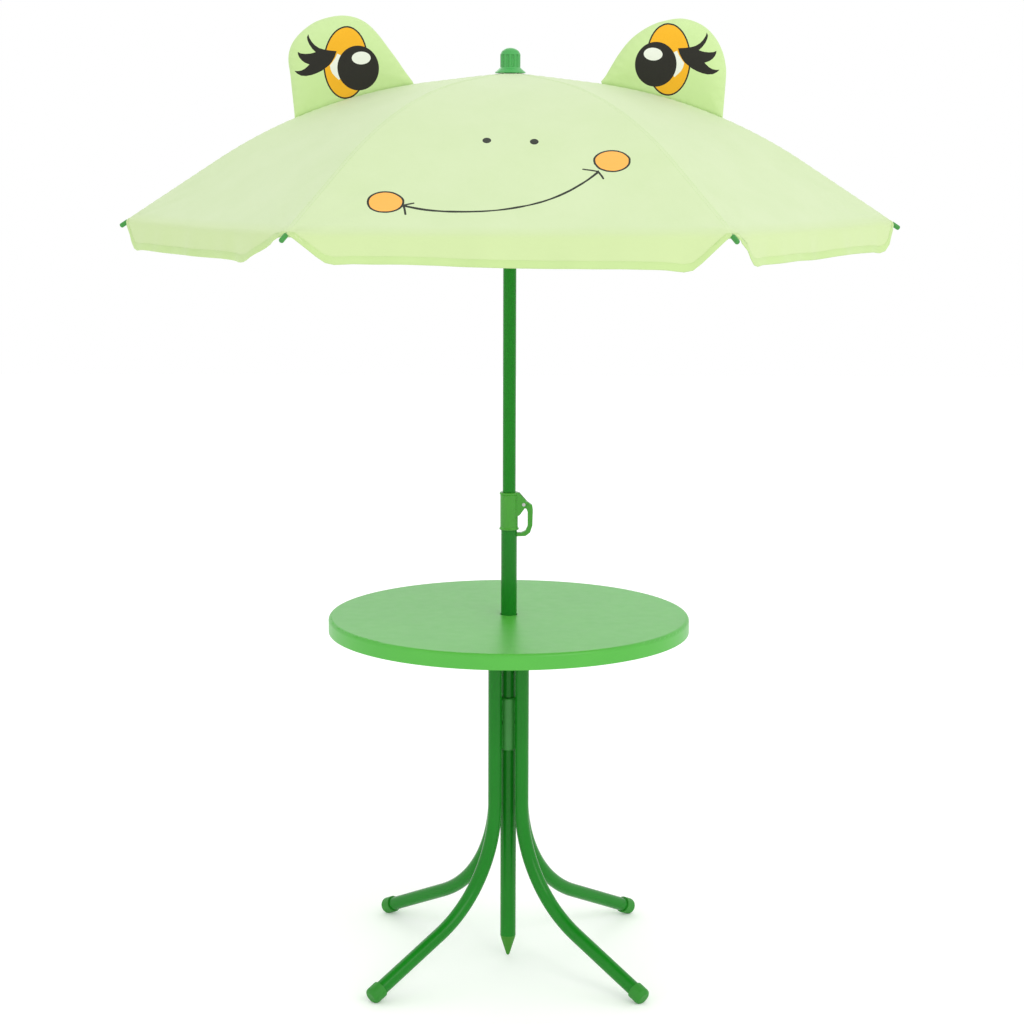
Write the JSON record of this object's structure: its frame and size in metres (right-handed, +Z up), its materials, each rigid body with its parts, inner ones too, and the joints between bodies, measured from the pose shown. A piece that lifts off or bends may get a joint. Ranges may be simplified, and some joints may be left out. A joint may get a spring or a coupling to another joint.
{
  "type": "children's parasol with table stand",
  "caption": "Small garden parasol with padded fabric ears, folding ribs and a lever-clamped mast, held upright by a round four-legged table.",
  "frame": {"origin": "on the floor, on the mast's axis, at the middle of the object's footprint", "axes": "+Z up along the mast; the face panel and both ears look towards -Y; +X is the clamp lever's side"},
  "size_m": [1.0546, 0.9144, 1.309],
  "materials": {
    "top_plastic": "moulded polypropylene, light green, satin",
    "pole_paint": "green powder coat on the upper mast",
    "leg_paint": "green powder coat on the legs and lower mast",
    "green_plastic": "moulded green plastic fittings",
    "cap_plastic": "soft green plastic caps",
    "spike_plastic": "moulded yellow-green plastic spike",
    "canopy_fabric": "pale green woven polyester",
    "ear_fabric": "light green woven polyester, padded",
    "rib_steel": "green coated steel rod",
    "bare_steel": "zinc-plated steel",
    "hub_plastic": "moulded dark green plastic"
  },
  "bodies": {
    "table": {"table_top": "top_plastic", "leg_front_left": "leg_paint", "leg_front_right": "leg_paint", "leg_rear_left": "leg_paint", "leg_rear_right": "leg_paint", "foot_cap_front_left": "cap_plastic", "foot_cap_front_right": "cap_plastic", "foot_cap_rear_left": "cap_plastic", "foot_cap_rear_right": "cap_plastic", "leg_hub_lower": "hub_plastic", "leg_hub_upper": "hub_plastic", "leg_screws": "bare_steel", "hub_screws": "bare_steel"},
    "lower_mast": {"lower_pole": "leg_paint", "ground_spike": "spike_plastic", "clamp_collar": "green_plastic", "clamp_pad": "green_plastic", "lever_pin": "bare_steel", "guide_bush": "hub_plastic"},
    "clamp_lever": {"clamp_lever": "green_plastic"},
    "upper_mast": {"upper_pole": "pole_paint", "pole_plug": "hub_plastic", "top_hub": "hub_plastic", "hub_pins": "bare_steel"},
    "finial": {"finial": "green_plastic"},
    "runner": {"runner": "hub_plastic"},
    "rib_1": {"rib_1": "rib_steel", "rib_tip_1": "green_plastic", "ear_right": "ear_fabric"},
    "stretcher_1": {"stretcher_1": "rib_steel", "knee_rivet_1": "bare_steel"},
    "rib_2": {"rib_2": "rib_steel", "rib_tip_2": "green_plastic"},
    "stretcher_2": {"stretcher_2": "rib_steel", "knee_rivet_2": "bare_steel"},
    "rib_3": {"rib_3": "rib_steel", "rib_tip_3": "green_plastic"},
    "stretcher_3": {"stretcher_3": "rib_steel", "knee_rivet_3": "bare_steel"},
    "rib_4": {"rib_4": "rib_steel", "rib_tip_4": "green_plastic", "ear_left": "ear_fabric"},
    "stretcher_4": {"stretcher_4": "rib_steel", "knee_rivet_4": "bare_steel"},
    "rib_5": {"rib_5": "rib_steel", "rib_tip_5": "green_plastic"},
    "stretcher_5": {"stretcher_5": "rib_steel", "knee_rivet_5": "bare_steel"},
    "rib_6": {"rib_6": "rib_steel", "rib_tip_6": "green_plastic"},
    "stretcher_6": {"stretcher_6": "rib_steel", "knee_rivet_6": "bare_steel"},
    "panel_1": {"canopy_panel_1": "canopy_fabric"},
    "panel_2": {"canopy_panel_2": "canopy_fabric"},
    "panel_3": {"canopy_panel_3": "canopy_fabric"},
    "panel_4": {"canopy_panel_4": "canopy_fabric"},
    "panel_5": {"canopy_panel_5": "canopy_fabric"},
    "panel_6": {"canopy_panel_6": "canopy_fabric"}
  },
  "joints": [
    {"name": "mast_lift", "type": "slide", "parent": "table", "child": "lower_mast", "axis": [0, 0, 1], "range_m": [0, 0.45]},
    {"name": "clamp_lever_swing", "type": "hinge", "parent": "lower_mast", "child": "clamp_lever", "pos_m": [0.0202, 0, 0.652], "axis": [0, -1, 0], "range_deg": [0, 110]},
    {"name": "height_slide", "type": "slide", "parent": "lower_mast", "child": "upper_mast", "axis": [0, 0, 1], "range_m": [-0.09, 0.1]},
    {"name": "finial_turn", "type": "hinge", "parent": "upper_mast", "child": "finial", "pos_m": [0, 0, 1.24], "axis": [0, 0, 1], "range_deg": [0, 720]},
    {"name": "runner_slide", "type": "slide", "parent": "upper_mast", "child": "runner", "axis": [0, 0, -1], "range_m": [0, 0.3491]},
    {"name": "canopy_fold", "type": "hinge", "parent": "upper_mast", "child": "rib_1", "pos_m": [0.015, 0, 1.226], "axis": [0, 1, 0], "range_deg": [0, 66], "deforming": ["canopy_panel_1", "canopy_panel_2", "canopy_panel_3", "canopy_panel_4", "canopy_panel_5", "canopy_panel_6"]},
    {"name": "stretcher_1_knee", "type": "hinge", "parent": "rib_1", "child": "stretcher_1", "pos_m": [0.23168, 0, 1.18611], "axis": [0, 1, 0], "range_deg": [-132.1, 0]},
    {"name": "rib_2_fold", "type": "hinge", "parent": "upper_mast", "child": "rib_2", "pos_m": [0.0075, 0.01299, 1.226], "axis": [-0.866, 0.5, 0], "range_deg": [0, 66]},
    {"name": "stretcher_2_knee", "type": "hinge", "parent": "rib_2", "child": "stretcher_2", "pos_m": [0.11584, 0.20064, 1.18611], "axis": [-0.866, 0.5, 0], "range_deg": [-132.1, 0]},
    {"name": "rib_3_fold", "type": "hinge", "parent": "upper_mast", "child": "rib_3", "pos_m": [-0.0075, 0.01299, 1.226], "axis": [-0.866, -0.5, 0], "range_deg": [0, 66]},
    {"name": "stretcher_3_knee", "type": "hinge", "parent": "rib_3", "child": "stretcher_3", "pos_m": [-0.11584, 0.20064, 1.18611], "axis": [-0.866, -0.5, 0], "range_deg": [-132.1, 0]},
    {"name": "rib_4_fold", "type": "hinge", "parent": "upper_mast", "child": "rib_4", "pos_m": [-0.015, 0, 1.226], "axis": [0, -1, 0], "range_deg": [0, 66]},
    {"name": "stretcher_4_knee", "type": "hinge", "parent": "rib_4", "child": "stretcher_4", "pos_m": [-0.23168, 0, 1.18611], "axis": [0, -1, 0], "range_deg": [-132.1, 0]},
    {"name": "rib_5_fold", "type": "hinge", "parent": "upper_mast", "child": "rib_5", "pos_m": [-0.0075, -0.01299, 1.226], "axis": [0.866, -0.5, 0], "range_deg": [0, 66]},
    {"name": "stretcher_5_knee", "type": "hinge", "parent": "rib_5", "child": "stretcher_5", "pos_m": [-0.11584, -0.20064, 1.18611], "axis": [0.866, -0.5, 0], "range_deg": [-132.1, 0]},
    {"name": "rib_6_fold", "type": "hinge", "parent": "upper_mast", "child": "rib_6", "pos_m": [0.0075, -0.01299, 1.226], "axis": [0.866, 0.5, 0], "range_deg": [0, 66]},
    {"name": "stretcher_6_knee", "type": "hinge", "parent": "rib_6", "child": "stretcher_6", "pos_m": [0.11584, -0.20064, 1.18611], "axis": [0.866, 0.5, 0], "range_deg": [-132.1, 0]},
    {"name": "panel_1_fold", "type": "hinge", "parent": "upper_mast", "child": "panel_1", "pos_m": [0.01125, 0.00649, 1.226], "axis": [-0.5, 0.866, 0], "range_deg": [0, 62.82]},
    {"name": "panel_2_fold", "type": "hinge", "parent": "upper_mast", "child": "panel_2", "pos_m": [0, 0.01299, 1.226], "axis": [-1, 0, 0], "range_deg": [0, 62.82]},
    {"name": "panel_3_fold", "type": "hinge", "parent": "upper_mast", "child": "panel_3", "pos_m": [-0.01125, 0.00649, 1.226], "axis": [-0.5, -0.866, 0], "range_deg": [0, 62.82]},
    {"name": "panel_4_fold", "type": "hinge", "parent": "upper_mast", "child": "panel_4", "pos_m": [-0.01125, -0.00649, 1.226], "axis": [0.5, -0.866, 0], "range_deg": [0, 62.82]},
    {"name": "panel_5_fold", "type": "hinge", "parent": "upper_mast", "child": "panel_5", "pos_m": [0, -0.01299, 1.226], "axis": [1, 0, 0], "range_deg": [0, 62.82]},
    {"name": "panel_6_fold", "type": "hinge", "parent": "upper_mast", "child": "panel_6", "pos_m": [0.01125, -0.00649, 1.226], "axis": [0.5, 0.866, 0], "range_deg": [0, 62.82]}
  ],
  "couplings": [
    {"joint": "runner_slide", "follows": "canopy_fold", "m_per_rad": 0.3026},
    {"joint": "stretcher_1_knee", "follows": "canopy_fold", "ratio": -2},
    {"joint": "rib_2_fold", "follows": "canopy_fold", "ratio": 1},
    {"joint": "stretcher_2_knee", "follows": "canopy_fold", "ratio": -2},
    {"joint": "rib_3_fold", "follows": "canopy_fold", "ratio": 1},
    {"joint": "stretcher_3_knee", "follows": "canopy_fold", "ratio": -2},
    {"joint": "rib_4_fold", "follows": "canopy_fold", "ratio": 1},
    {"joint": "stretcher_4_knee", "follows": "canopy_fold", "ratio": -2},
    {"joint": "rib_5_fold", "follows": "canopy_fold", "ratio": 1},
    {"joint": "stretcher_5_knee", "follows": "canopy_fold", "ratio": -2},
    {"joint": "rib_6_fold", "follows": "canopy_fold", "ratio": 1},
    {"joint": "stretcher_6_knee", "follows": "canopy_fold", "ratio": -2},
    {"joint": "panel_1_fold", "follows": "canopy_fold", "ratio": 0.9511},
    {"joint": "panel_2_fold", "follows": "canopy_fold", "ratio": 0.9511},
    {"joint": "panel_3_fold", "follows": "canopy_fold", "ratio": 0.9511},
    {"joint": "panel_4_fold", "follows": "canopy_fold", "ratio": 0.9511},
    {"joint": "panel_5_fold", "follows": "canopy_fold", "ratio": 0.9511},
    {"joint": "panel_6_fold", "follows": "canopy_fold", "ratio": 0.9511}
  ]
}
